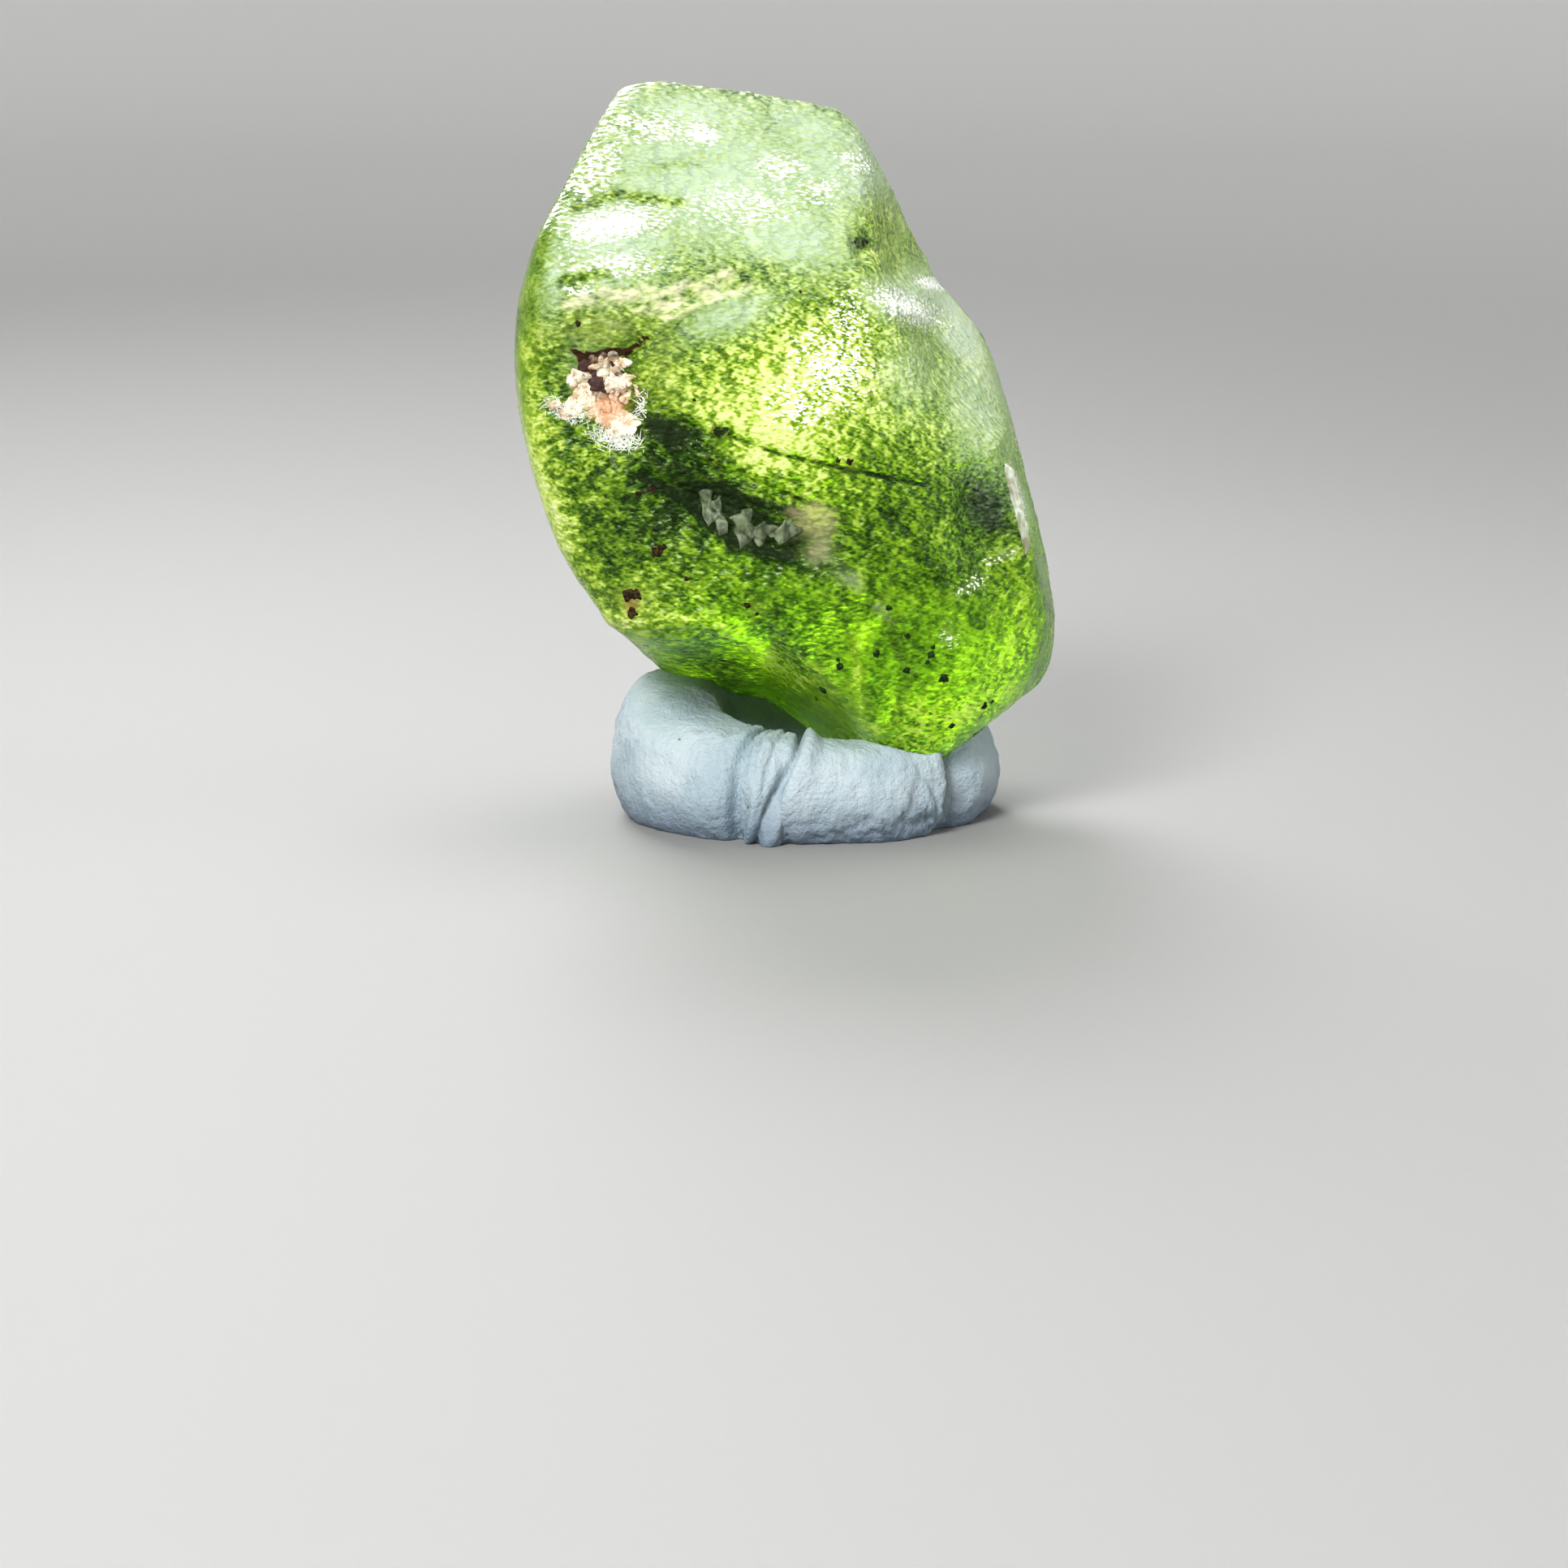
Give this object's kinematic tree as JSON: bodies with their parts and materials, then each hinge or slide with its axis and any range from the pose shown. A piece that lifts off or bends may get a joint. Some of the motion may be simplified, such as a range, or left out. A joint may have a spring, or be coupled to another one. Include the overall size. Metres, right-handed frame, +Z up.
{
  "type": "rough peridot crystal on a putty ring",
  "caption": "Rough see-through peridot crystal standing on end, held upright in a small ring of rolled mounting putty.",
  "frame": {"origin": "on the ground, under the middle of the crystal's box", "axes": "+Z up the standing crystal, -Y towards the front with the rusty pit, +X to the right of the front"},
  "size_m": [0.0198, 0.0147, 0.0265],
  "materials": {
    "peridot": "see-through yellow-green crystal with a finely etched, partly frosted skin",
    "putty": "dull, faintly rough mounting putty with finger creases"
  },
  "bodies": {
    "root": {"peridot_crystal": "peridot", "putty_ring": "putty"}
  },
  "joints": []
}
